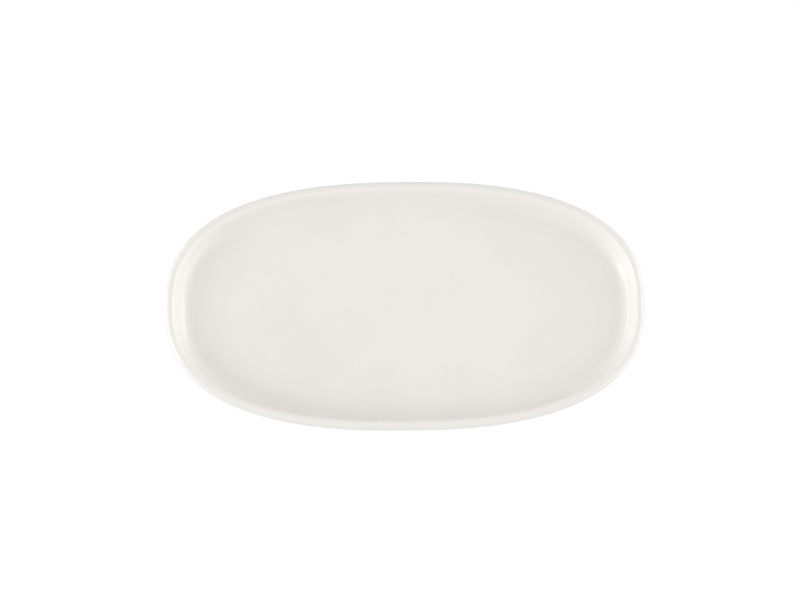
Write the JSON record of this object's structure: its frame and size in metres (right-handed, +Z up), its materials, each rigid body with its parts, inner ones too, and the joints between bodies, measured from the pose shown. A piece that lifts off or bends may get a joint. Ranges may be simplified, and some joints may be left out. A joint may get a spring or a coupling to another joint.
{
  "type": "oval plate",
  "caption": "Long oval serving plate in glossy white porcelain with a low upright wall, a thick rounded rim, a flat well and an oval foot ring.",
  "frame": {"origin": "on the table under the plate's centre, in the plane of the foot ring's standing face", "axes": "+X along the plate's length, +Y across it, +Z up out of the well"},
  "size_m": [0.31, 0.162, 0.022],
  "materials": {
    "white_glaze": "polished",
    "bare_porcelain": "matte"
  },
  "bodies": {
    "root": {"porcelain_body": "bare_porcelain", "face_glaze": "white_glaze", "base_glaze": "white_glaze"}
  },
  "joints": []
}
